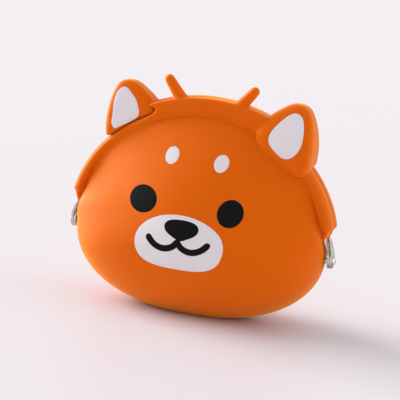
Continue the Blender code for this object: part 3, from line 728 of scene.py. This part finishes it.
def rim_mesh(skin):
    """The rim with its band and its two sleeves, its face leaning back to the crease."""
    near = -skin.rim_depth
    plates = [plate_mesh("rim", skin.rim_outline(), near, -MATE_GAP, RIM_ROUND)]
    for side in (-1, 1):
        outline, far = skin.sleeve_outline(side), -MATE_GAP - SLEEVE_MATE
        plates.append(plate_mesh("sleeve", outline, near + SLEEVE_STEP, far, SLEEVE_ROUND))
    mesh = refine(add_object("rim", joined("rim", plates)), PIECE_VOXEL, (), "rim")
    for v in mesh.vertices:
        offset, turn = skin.place_of(v.co.x, v.co.z)
        sink = skin.rim_depth - skin.rim_face(offset, skin.middle + skin.crown * math.sin(turn))
        sink *= smooth(skin.sleeve_end, skin.rim_end, v.co.z)
        v.co.y += sink * smooth(*RIM_FACE_BELT, -v.co.y)
    return mesh


def ear_mesh(skin, slim, taller):
    """One ear: a thick leaf that laps onto the skin below and is cut to hang over the other rim."""
    outline = skin.ear_outline(slim, taller)
    plate = plate_mesh("ear", outline, -skin.ear_front, skin.ear_back, EAR_ROUND)
    holder = add_object("ear", plate)
    first, last = EAR_START_TURN + EAR_CUT_TURN, EAR_END_TURN - EAR_CUT_TURN
    cut = [skin.seat_point(turn, EAR_CUT_GAP) for turn in even_steps(first, last, EAR_CUT_STEPS)]
    cut += skin.arc(-EAR_LAP - EAR_CUT_SPARE / 2, last, first, EAR_CUT_STEPS)
    block = plate_mesh("cutter", cut, -MATE_GAP, skin.ear_back + EAR_CUT_SPARE, EAR_CUT_ROUND)
    cutter = add_object("cutter", block)
    step = holder.modifiers.new("overhang", "BOOLEAN")
    step.operation = "DIFFERENCE"
    step.object = cutter
    step.solver = "EXACT"
    mesh = refine(holder, PIECE_VOXEL, EAR_EASES, "ear")
    bpy.data.objects.remove(cutter, do_unlink=True)
    for v in mesh.vertices:
        depth = -v.co.y * skin.ear_lean(v.co.z)
        offset = skin.place_of(v.co.x, v.co.z)[0]
        if offset < EAR_LAP_TOP:
            under = skin.face_depth(v.co.x, v.co.z)
            lap = smooth(-EAR_LAP, EAR_LAP_TOP, offset) ** EAR_LAP_POWER
            front = between(under - EAR_LAP_SINK, skin.ear_front, lap)
            depth = depth * front / skin.ear_front if depth > 0 else depth
            if offset < EAR_LAP_BACK_OFFSET:
                depth = max(depth, under - EAR_LAP_BACK)
        v.co.y = -depth
    return mesh


def mouth_half_mesh(skin, shape, is_front):
    """The rim with its sleeves, band and ear, grown together, and the tufts on the front one."""
    slim, taller = (0, 0) if is_front else (BACK_EAR_SLIM, BACK_EAR_TALLER)
    pieces = [rim_mesh(skin), ear_mesh(skin, slim, taller)]
    for side in (-1, 1) if is_front else ():
        rise = shape.tuft_rise - side * shape.tuft_drop / 2
        tip = skin.oval(skin.band_proud + rise, TUFT_TIP_TURN)
        root = skin.oval(skin.band_proud - TUFT_SINK, TUFT_ROOT_TURN)
        root = Vector((side * root.x, -TUFT_SETBACK, root.y))
        pieces.append(tuft_mesh(root, Vector((side * tip.x, -TUFT_SETBACK, tip.y))))
    holder = add_object("mouth", joined("mouth", pieces))
    return refine(holder, MOUTH_VOXEL, MOUTH_EASES, "mouth_half")


def arm_half_width(rise):
    """Half the width of a hinge arm at a height over the rivet."""
    if rise < 0:
        return max(ARM_FOOT_HALF, ARM_EYE * math.sqrt(max(0.0, 1 - (rise / ARM_FOOT) ** 2)))
    for (low, wide), (high, narrow) in zip(ARM_WIDTHS, ARM_WIDTHS[1:]):
        if rise < high * MM:
            return between(wide, narrow, smooth(low, high, rise / MM)) * MM
    return ARM_WIDTHS[-1][1] * MM


def arm_mesh(shape, side):
    """A hinge arm of the front jaw: a strip pressed into a channel with its edges turned outwards, round
    at the rivet and leaning in and forward as it rises into the rim."""
    layer, inward = ARM_LAYERS[side]
    rises = [-ARM_FOOT * math.cos(turn) for turn in even_steps(0.0, HALF_TURN / 2, ARM_FOOT_STEPS)[:-1]]
    rises += even_steps(0.0, ARM_RISE, ARM_STEPS)
    bm = bmesh.new()
    loops = []
    for rise in rises:
        half = arm_half_width(rise)
        lip = min(LIP_WIDTH, half * LIP_SHARE)
        up = rise / MM
        high = LIP_HEIGHT - LIP_LOWERED * smooth(*LIP_LOWERED_RISES, up)
        floor = high if rise < -ARM_FOOT + LIP_WIDTH else ARM_THICKNESS
        section = (
            (-half, 0), (half, 0), (half, high), (half - lip, high), (half - lip, floor),
            (lip - half, floor), (lip - half, high), (-half, high),
        )
        out = shape.half_width + layer - inward * smooth(*ARM_LEAN_RISES, up)
        depth = -ARM_SPLAY * smooth(*ARM_SPLAY_RISES, up)
        loops.append([
            bm.verts.new((side * (out + proud), depth + along, shape.hinge_height + rise))
            for along, proud in section
        ])
    bridge(bm, loops, closed=True)
    bm.faces.new(loops[0])
    bm.faces.new(loops[-1])
    holder = add_object("arm", mesh_from("arm", bm, outward=True))
    edges = holder.modifiers.new("edges", "BEVEL")
    edges.width = ARM_EDGE
    edges.segments = 2
    edges.limit_method = "ANGLE"
    edges.angle_limit = BEVEL_ANGLE
    return applied(holder, "arm")


def arch_mesh(skin):
    """The hidden part of the steel strip, inside the rim."""
    bm = bmesh.new()
    rows = []
    start = skin.turn_at(STRIP_PROUD, skin.hinge + ARM_RISE - STRIP_LAP, 1)
    for place in skin.arc(STRIP_PROUD, start, HALF_TURN - start, ARCH_STEPS):
        depths = (-skin.rim_depth / 2 - MATE_GAP + d * STRIP_WIDTH / 2 for d in (-1, 1))
        rows.append([bm.verts.new((place.x, depth, place.y)) for depth in depths])
    bridge(bm, rows)
    holder = add_object("arch", mesh_from("arch", bm))
    solid = holder.modifiers.new("steel", "SOLIDIFY")
    solid.thickness = STRIP_THICKNESS
    solid.offset = 0
    return applied(holder, "arch")


def rivet_mesh(shape, side):
    """A tubular rivet: a domed head outside with a rolled edge, a shank and a flat foot at the skin."""
    profile = [(radius * MM, along * MM) for radius, along in RIVET_PROFILE]
    outwards = Matrix.Rotation(side * HALF_TURN / 2, 4, "Y")
    place = Matrix.Translation((side * shape.half_width, 0, shape.hinge_height)) @ outwards
    return turned_mesh("rivet", profile, RIVET_SEGMENTS, place)


def mirrored_outline(half, ends, shift=0.0):
    """A closed outline in metres from its right half and its top and bottom, moved across by shift."""
    right = [Vector(p) * MM for p in half]
    left = [Vector((-p.x, p.y)) for p in reversed(right)]
    round_about = [Vector((0, ends[0] * MM)), *right, Vector((0, ends[1] * MM)), *left]
    return smooth_curve([p + Vector((shift, 0)) for p in round_about], MARK_CURVE_STEPS, closed=True)


def oval_outline(across, height, width, tall):
    """A closed oval outline round its middle."""
    turns = full_circle(OVAL_SEGMENTS)
    return [Vector((across + width / 2 * math.cos(t), height + tall / 2 * math.sin(t))) for t in turns]


def patch_mesh(name, outline, rings, surface, lift):
    """A thin cushion inside an outline, laid on a surface, with its edge let into it."""
    middle = sum(outline, Vector((0, 0))) / len(outline)
    bm = bmesh.new()
    loops = []
    # One ring more than asked for turns in under the edge and sinks into the surface
    for ring in range(1, rings + 2):
        share = math.sin(HALF_TURN / 2 * ring / rings)
        sunk = MARK_SINK if ring > rings else 0
        rise = lift * (1 - PATCH_EDGE_DROP * share ** PATCH_EDGE_POWER - sunk)
        places = [between(middle, edge, share) for edge in outline]
        loops.append([bm.verts.new(surface(place.x, place.y, rise)) for place in places])
    pole = bm.verts.new(surface(middle.x, middle.y, lift))
    for k in range(len(outline)):
        bm.faces.new((pole, loops[0][k - 1], loops[0][k]))
    bridge(bm, loops, closed=True)
    return mesh_from(name, bm, outward=True)


def mirrored_line(half, shift):
    """A line in metres through the points, both ways from the middle, moved across by shift."""
    right = smooth_curve([Vector(p) * MM for p in half], MOUTH_CURVE_STEPS)
    both = [Vector((-p.x, p.y)) for p in reversed(right[1:])] + right
    return [p + Vector((shift, 0)) for p in both]


def stroke_mesh(name, line, radius, surface, lift):
    """A thin raised stroke with round ends, laid on a surface, with its edge let into it."""
    bm = bmesh.new()

    def row(start, outwards, shares):
        points = []
        for share, sunk in shares:
            place = start + outwards * radius * share
            rise = lift * (1 - STROKE_EDGE_DROP * share ** STROKE_EDGE_POWER - MARK_SINK * sunk)
            points.append(bm.verts.new(surface(place.x, place.y, rise)))
        return points

    across = ((-1, 1), (-1, 0), (-0.7, 0), (0, 0), (0.7, 0), (1, 0), (1, 1))
    rows = []
    for k, here in enumerate(line):
        ahead = line[min(k + 1, len(line) - 1)] - line[max(k - 1, 0)]
        rows.append(row(here, Vector((-ahead.y, ahead.x)).normalized(), across))
    bridge(bm, rows)
    for end, before in ((line[0], line[1]), (line[-1], line[-2])):
        away = (end - before).normalized()
        square = Vector((-away.y, away.x))
        turns = even_steps(-HALF_TURN / 2, HALF_TURN / 2, STROKE_END_STEPS)
        spokes = [away * math.cos(turn) + square * math.sin(turn) for turn in turns]
        bridge(bm, [row(end, spoke, ((0, 0), (0.5, 0), (1, 0), (1, 1))) for spoke in spokes])
    bmesh.ops.remove_doubles(bm, verts=bm.verts, dist=STROKE_WELD)
    return mesh_from(name, bm, outward=True)


def node(tree, kind, inputs=(), **settings):
    """Adds a shader node with its settings, values and links; inputs maps a socket to a value or output."""
    made = tree.nodes.new(kind)
    for key, value in settings.items():
        setattr(made, key, value)
    for socket, value in dict(inputs).items():
        if isinstance(value, bpy.types.NodeSocket):
            tree.links.new(value, made.inputs[socket])
        else:
            made.inputs[socket].default_value = value
    return made


def blank_material(name):
    """A new material and its empty node tree."""
    made = bpy.data.materials.new(name)
    made.use_nodes = True
    made.node_tree.nodes.clear()
    return made, made.node_tree


def silicone(name, base, deep, gloss, level, bloom, haze, glow):
    """Compression-moulded silicone rubber: a dry matte skin with a faint blasted grain from the mould and
    a thin bloom whose haze pales its edges, into which light goes a little way, so that thin edges glow."""
    made, tree = blank_material(name)
    place = node(tree, "ShaderNodeTexCoord").outputs["Object"]
    # Pigment drifts over about 25 mm
    drift = node(tree, "ShaderNodeTexNoise", {"Vector": place, "Scale": 1 / (25 * MM), "Detail": 2.0})
    tone = node(tree, "ShaderNodeMix", {
        "Factor": drift.outputs["Fac"], MIX_FIRST: base, MIX_SECOND: deep,
    }, data_type="RGBA")
    # The mould's blasted grain is about 0.1 mm and is drawn at 0.35 mm so that it shows
    grain = node(tree, "ShaderNodeTexNoise", {"Vector": place, "Scale": 1 / (0.35 * MM), "Detail": 3.0})
    # Dust and finger grease change the gloss over about 6 mm
    wear = node(tree, "ShaderNodeTexNoise", {"Vector": place, "Scale": 1 / (6 * MM), "Detail": 4.0})
    rough = node(tree, "ShaderNodeMapRange", {
        "Value": wear.outputs["Fac"], "From Min": 0.3, "From Max": 0.7, "To Min": 0.52, "To Max": 0.60,
    })
    bump = node(tree, "ShaderNodeBump", {
        "Height": grain.outputs["Fac"], "Strength": 0.12, "Distance": 0.02 * MM,
    })
    shader = node(tree, "ShaderNodeBsdfPrincipled", {
        "Base Color": tone.outputs[MIX_RESULT],
        "Roughness": rough.outputs["Result"],
        "IOR": 1.41,
        "Specular IOR Level": level,
        "Specular Tint": linear(gloss),
        "Sheen Weight": bloom,
        "Sheen Roughness": 0.5,
        "Sheen Tint": linear(haze),
        "Subsurface Weight": glow,
        "Subsurface Scale": 1.0,
        "Subsurface Radius": (2.4 * MM, 1.4 * MM, 0.4 * MM),
        "Normal": bump.outputs["Normal"],
    })
    node(tree, "ShaderNodeOutputMaterial", {"Surface": shader.outputs["BSDF"]})
    return made


def nickel_plated_steel(name, base):
    """Pressed steel strip with bright nickel plating: a hard mirror with fine rubbing marks."""
    made, tree = blank_material(name)
    place = node(tree, "ShaderNodeTexCoord").outputs["Object"]
    # Rubbing marks from the tumbler, about 0.3 mm apart and drawn out up the strip
    stretch = node(tree, "ShaderNodeMapping", {"Vector": place, "Scale": (1.0, 1.0, 0.15)})
    rub = node(tree, "ShaderNodeTexNoise", {
        "Vector": stretch.outputs["Vector"], "Scale": 1 / (0.3 * MM), "Detail": 2.0,
    })
    dull = node(tree, "ShaderNodeTexNoise", {"Vector": place, "Scale": 1 / (3 * MM), "Detail": 3.0})
    rough = node(tree, "ShaderNodeMapRange", {
        "Value": dull.outputs["Fac"], "From Min": 0.3, "From Max": 0.7, "To Min": 0.12, "To Max": 0.22,
    })
    bump = node(tree, "ShaderNodeBump", {
        "Height": rub.outputs["Fac"], "Strength": 0.15, "Distance": 0.01 * MM,
    })
    shader = node(tree, "ShaderNodeBsdfPrincipled", {
        "Base Color": base,
        "Metallic": 1.0,
        "Roughness": rough.outputs["Result"],
        "Normal": bump.outputs["Normal"],
    })
    node(tree, "ShaderNodeOutputMaterial", {"Surface": shader.outputs["BSDF"]})
    return made


def finish_material(slot):
    """The finish of a material slot, made once."""
    finish = bpy.context.scene.purse_finish
    if slot == "nickel_plated_steel":
        name = "bright nickel plated steel"
        return bpy.data.materials.get(name) or nickel_plated_steel(name, finish.nickel)
    pigment = slot.removesuffix("_silicone")
    name = f"{pigment} moulded silicone"
    base, deep = getattr(finish, pigment), getattr(finish, pigment + "_deep")
    return bpy.data.materials.get(name) or silicone(name, base, deep, *SILICONE_LOOKS[pigment])


def show(name, mesh, slot, nodes):
    """Puts a finished mesh into the scene in place of the CAD nodes it stands for."""
    made = add_object(name, mesh)
    mesh.materials.clear()
    mesh.materials.append(finish_material(slot))
    mesh.shade_smooth()
    mesh.set_sharp_from_angle(angle=SHARP_ANGLE)
    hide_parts(*nodes)
    return made


def bend_with(made):
    """Bakes the piece's place into its mesh."""
    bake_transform(made)


def outside_of(mesh, side):
    """Gives the function that lays a point on a mesh, from the front or, with side 1, from behind."""
    tree = BVHTree.FromPolygons([v.co for v in mesh.vertices], [p.vertices for p in mesh.polygons])

    def surface(across, height, rise):
        start = Vector((across, side * RAY_START, height))
        found = tree.ray_cast(start, Vector((0, -side, 0)))[0]
        if found is None:
            raise ValueError("an ear lining reaches past its ear")
        return found + Vector((0, side * rise, 0))

    return surface


def add_mark(name, mesh, slot):
    """Shows a face mark and bakes its place into its mesh."""
    made = show(name + "_mark", mesh, slot, [name])
    bend_with(made)


class PURSE_OT_skin(bpy.types.Operator):
    """Builds the two soft skin halves"""

    bl_idname = "purse.skin"
    bl_label = "Skin halves"

    def execute(self, context):
        skin = Skin(context.scene.purse_shape)
        front = skin_half_mesh(skin, context.scene.purse_shape.wall)
        back = front.copy()
        back.transform(ABOUT)
        for mesh, word, side in ((front, "front", -1), (back, "back", 1)):
            nodes = [word + "_panel", "pouch_bowl"]
            made = show(word + "_skin", mesh, "orange_silicone", nodes)
            bend_with(made)
        return {"FINISHED"}


class PURSE_OT_mouth(bpy.types.Operator):
    """Builds the rim, band, ear and tufts of each jaw and the white ear linings"""

    bl_idname = "purse.mouth"
    bl_label = "Rims, ears and tufts"

    def execute(self, context):
        shape = context.scene.purse_shape
        skin = Skin(shape)
        for word, ear, side, shares, nodes in (
            ("front", "right", -1, LINING_SHARES, ["front_rim", "right_ear", "left_tuft", "right_tuft"]),
            ("back", "left", 1, HUNG_LINING_SHARES, ["back_rim", "left_ear"]),
        ):
            mesh = mouth_half_mesh(skin, shape, word == "front")
            points = [skin.ear_point(*pair) for pair in shares]
            outline = smooth_curve(points, LINING_CURVE_STEPS, closed=True)
            lining = patch_mesh(ear + "_lining", outline, LINING_RINGS, outside_of(mesh, side), LINING_LIFT)
            if word == "back":
                mesh.transform(ABOUT)
                lining.transform(ABOUT)
            made = show(word + "_mouth", mesh, "orange_silicone", nodes)
            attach(made, word + "_jaw")
            patch = show(ear + "_ear_patch", lining, "white_silicone", [ear + "_ear_lining"])
            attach(patch, word + "_jaw")
        return {"FINISHED"}


class PURSE_OT_face(bpy.types.Operator):
    """Builds the coloured marks of the face"""

    bl_idname = "purse.face"
    bl_label = "Face marks"

    def execute(self, context):
        skin = Skin(context.scene.purse_shape)
        face = context.scene.purse_face

        def on_skin(across, height, rise):
            return Vector((across, -skin.face_depth(across, height) - rise, height))

        for side, word in ((-1, "left"), (1, "right")):
            wide = face.eye_width - side * face.eye_stretch / 2
            height = face.eye_height - side * face.eye_drop / 2
            eye = oval_outline(side * face.eye_across - face.eye_shift, height, wide, face.eye_tall)
            add_mark(word + "_eye", patch_mesh("eye", eye, EYE_RINGS, on_skin, face.lift), "black_silicone")
            across = side * face.brow_across + face.brow_shift
            height = face.brow_height - side * face.brow_drop / 2
            brow = oval_outline(across, height, face.brow_width, face.brow_tall)
            patch = patch_mesh("brow", brow, BROW_RINGS, on_skin, face.lift)
            add_mark(word + "_brow", patch, "white_silicone")
        muzzle = mirrored_outline(MUZZLE_HALF, MUZZLE_ENDS, MUZZLE_SHIFT)
        patch = patch_mesh("muzzle", muzzle, MUZZLE_RINGS, on_skin, face.lift)
        add_mark("muzzle_patch", patch, "white_silicone")
        # The nose and the mouth lie over the muzzle, so they are lifted twice as far
        nose = mirrored_outline(NOSE_HALF, NOSE_ENDS)
        add_mark("nose", patch_mesh("nose", nose, NOSE_RINGS, on_skin, 2 * face.lift), "black_silicone")
        line = mirrored_line(MOUTH_HALF, MOUTH_SHIFT)
        stroke = stroke_mesh("mouth", line, MOUTH_STROKE / 2, on_skin, 2 * face.lift)
        add_mark("mouth", stroke, "black_silicone")
        return {"FINISHED"}


class PURSE_OT_steel(bpy.types.Operator):
    """Builds the two steel frames with their hinge arms, and the two rivets"""

    bl_idname = "purse.steel"
    bl_label = "Frames and rivets"

    def execute(self, context):
        shape = context.scene.purse_shape
        skin = Skin(shape)
        front = joined("frame", [arch_mesh(skin), arm_mesh(shape, 1), arm_mesh(shape, -1)])
        back = front.copy()
        back.transform(ABOUT)
        for mesh, word in ((front, "front"), (back, "back")):
            made = show(word + "_steel", mesh, "nickel_plated_steel", [word + "_frame"])
            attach(made, word + "_jaw")
        for side, word in ((-1, "left"), (1, "right")):
            rivet = rivet_mesh(shape, side)
            made = show(word + "_rivet", rivet, "nickel_plated_steel", [word + "_hinge_rivet"])
            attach(made, "pouch")
        return {"FINISHED"}


class PURSE_OT_stage(bpy.types.Operator):
    """Sets the pale floor, the soft lamps and the camera"""

    bl_idname = "purse.stage"
    bl_label = "Floor, lamps and camera"

    def execute(self, context):
        stage = context.scene.purse_stage
        bm = bmesh.new()
        bmesh.ops.create_grid(bm, x_segments=FLOOR_SQUARES, y_segments=FLOOR_SQUARES, size=FLOOR_REACH)
        floor = add_object("floor", mesh_from("floor", bm))
        floor.data.materials.append(table_top("painted pale table top", context.scene.purse_finish))
        for name, place, spread, setting in LAMPS:
            add_lamp(name, Vector(place), spread, getattr(stage, setting))
        set_air(context.scene, stage.air, stage.air_tone)
        add_camera(context.scene, stage)
        context.scene.view_settings.view_transform = "Standard"
        return {"FINISHED"}


def seen_by_eye(tree):
    """1 for rays from the camera, a reflection or glass, 0 for light on its way between surfaces."""
    path = node(tree, "ShaderNodeLightPath").outputs
    seen = path["Is Camera Ray"]
    for kind in ("Is Glossy Ray", "Is Transmission Ray"):
        seen = node(tree, "ShaderNodeMath", {0: seen, 1: path[kind]}, operation="MAXIMUM").outputs[0]
    return seen


def table_top(name, finish):
    """Satin paint on board: pale and even, with a soft sheen that picks up a trace of the purse's colour.
    It throws light back up like white paper."""
    made, tree = blank_material(name)
    place = node(tree, "ShaderNodeTexCoord").outputs["Object"]
    cloud = node(tree, "ShaderNodeTexNoise", {"Vector": place, "Scale": 1 / (300 * MM), "Detail": 2.0})
    clouded = node(tree, "ShaderNodeMix", {
        "Factor": cloud.outputs["Fac"], MIX_FIRST: finish.floor, MIX_SECOND: finish.floor_deep,
    }, data_type="RGBA")
    tone = node(tree, "ShaderNodeMix", {
        "Factor": seen_by_eye(tree),
        MIX_FIRST: finish.floor_bounce,
        MIX_SECOND: clouded.outputs[MIX_RESULT],
    }, data_type="RGBA")
    shader = node(tree, "ShaderNodeBsdfPrincipled", {
        "Base Color": tone.outputs[MIX_RESULT], "Roughness": 0.5,
    })
    node(tree, "ShaderNodeOutputMaterial", {"Surface": shader.outputs["BSDF"]})
    return made


def add_lamp(name, place, spread, strength):
    """A broad soft light from the direction of place; its spread is the angle that the source fills."""
    lamp = bpy.data.lights.new(name, "SUN")
    lamp.angle = spread
    lamp.energy = strength
    made = add_object(name, lamp)
    made.matrix_world = Matrix.Translation(place) @ (-place).to_track_quat("-Z", "Y").to_matrix().to_4x4()


def set_air(scene, strength, tone):
    """Even light from all round, and white where the camera or a reflection sees it."""
    world = bpy.data.worlds.new("studio_air")
    scene.world = world
    world.use_nodes = True
    tree = world.node_tree
    tree.nodes.clear()
    level = node(tree, "ShaderNodeMapRange", {
        "Value": seen_by_eye(tree), "To Min": strength, "To Max": 1.0,
    })
    light = node(tree, "ShaderNodeBackground", {"Color": tone, "Strength": level.outputs["Result"]})
    node(tree, "ShaderNodeOutputWorld", {"Surface": light.outputs["Background"]})


def add_camera(scene, stage):
    """The photograph's view: the camera's axes from its turn, rise and roll, and its place along them."""
    turn, rise = stage.azimuth, stage.elevation
    back = Vector((math.sin(turn) * math.cos(rise), -math.cos(turn) * math.cos(rise), math.sin(rise)))
    right = Vector((math.cos(turn), math.sin(turn), 0))
    rolled = Matrix.Rotation(stage.roll, 3, "Z") @ Matrix((right, back.cross(right), back))
    lens = bpy.data.cameras.new("camera")
    lens.lens = stage.lens
    lens.sensor_width = SENSOR_WIDTH
    camera = add_object("camera", lens)
    axes = rolled.transposed()
    place = axes @ Vector(CAMERA_PLACE) * MM - Vector((0, 0, CAMERA_DROP))
    camera.matrix_world = Matrix.Translation(place) @ axes.to_4x4()
    scene.camera = camera


class PURSE_PT_panel(bpy.types.Panel):
    """Lists the purse's settings and pieces"""

    bl_idname = "PURSE_PT_panel"
    bl_label = "Coin purse"
    bl_space_type = "VIEW_3D"
    bl_region_type = "UI"
    bl_category = "Coin purse"

    def draw(self, context):
        scene = context.scene
        for group in (scene.purse_shape, scene.purse_face, scene.purse_finish, scene.purse_stage):
            box = self.layout.box()
            for name in type(group).__annotations__:
                box.prop(group, name)
        for kind in OPERATORS:
            self.layout.operator(kind.bl_idname)


GROUPS = {
    "purse_shape": PurseShape,
    "purse_face": PurseFace,
    "purse_finish": PurseFinish,
    "purse_stage": PurseStage,
}
OPERATORS = (PURSE_OT_skin, PURSE_OT_mouth, PURSE_OT_face, PURSE_OT_steel, PURSE_OT_stage)


def register():
    for kind in (*GROUPS.values(), *OPERATORS, PURSE_PT_panel):
        bpy.utils.register_class(kind)
    for name, kind in GROUPS.items():
        setattr(bpy.types.Scene, name, PointerProperty(type=kind))


def unregister():
    for name in GROUPS:
        delattr(bpy.types.Scene, name)
    for kind in (PURSE_PT_panel, *reversed(OPERATORS), *reversed(GROUPS.values())):
        bpy.utils.unregister_class(kind)


def main():
    register()
    bpy.ops.purse.skin()
    bpy.ops.purse.mouth()
    bpy.ops.purse.face()
    bpy.ops.purse.steel()
    bpy.ops.purse.stage()


if __name__ == "__main__":
    main()
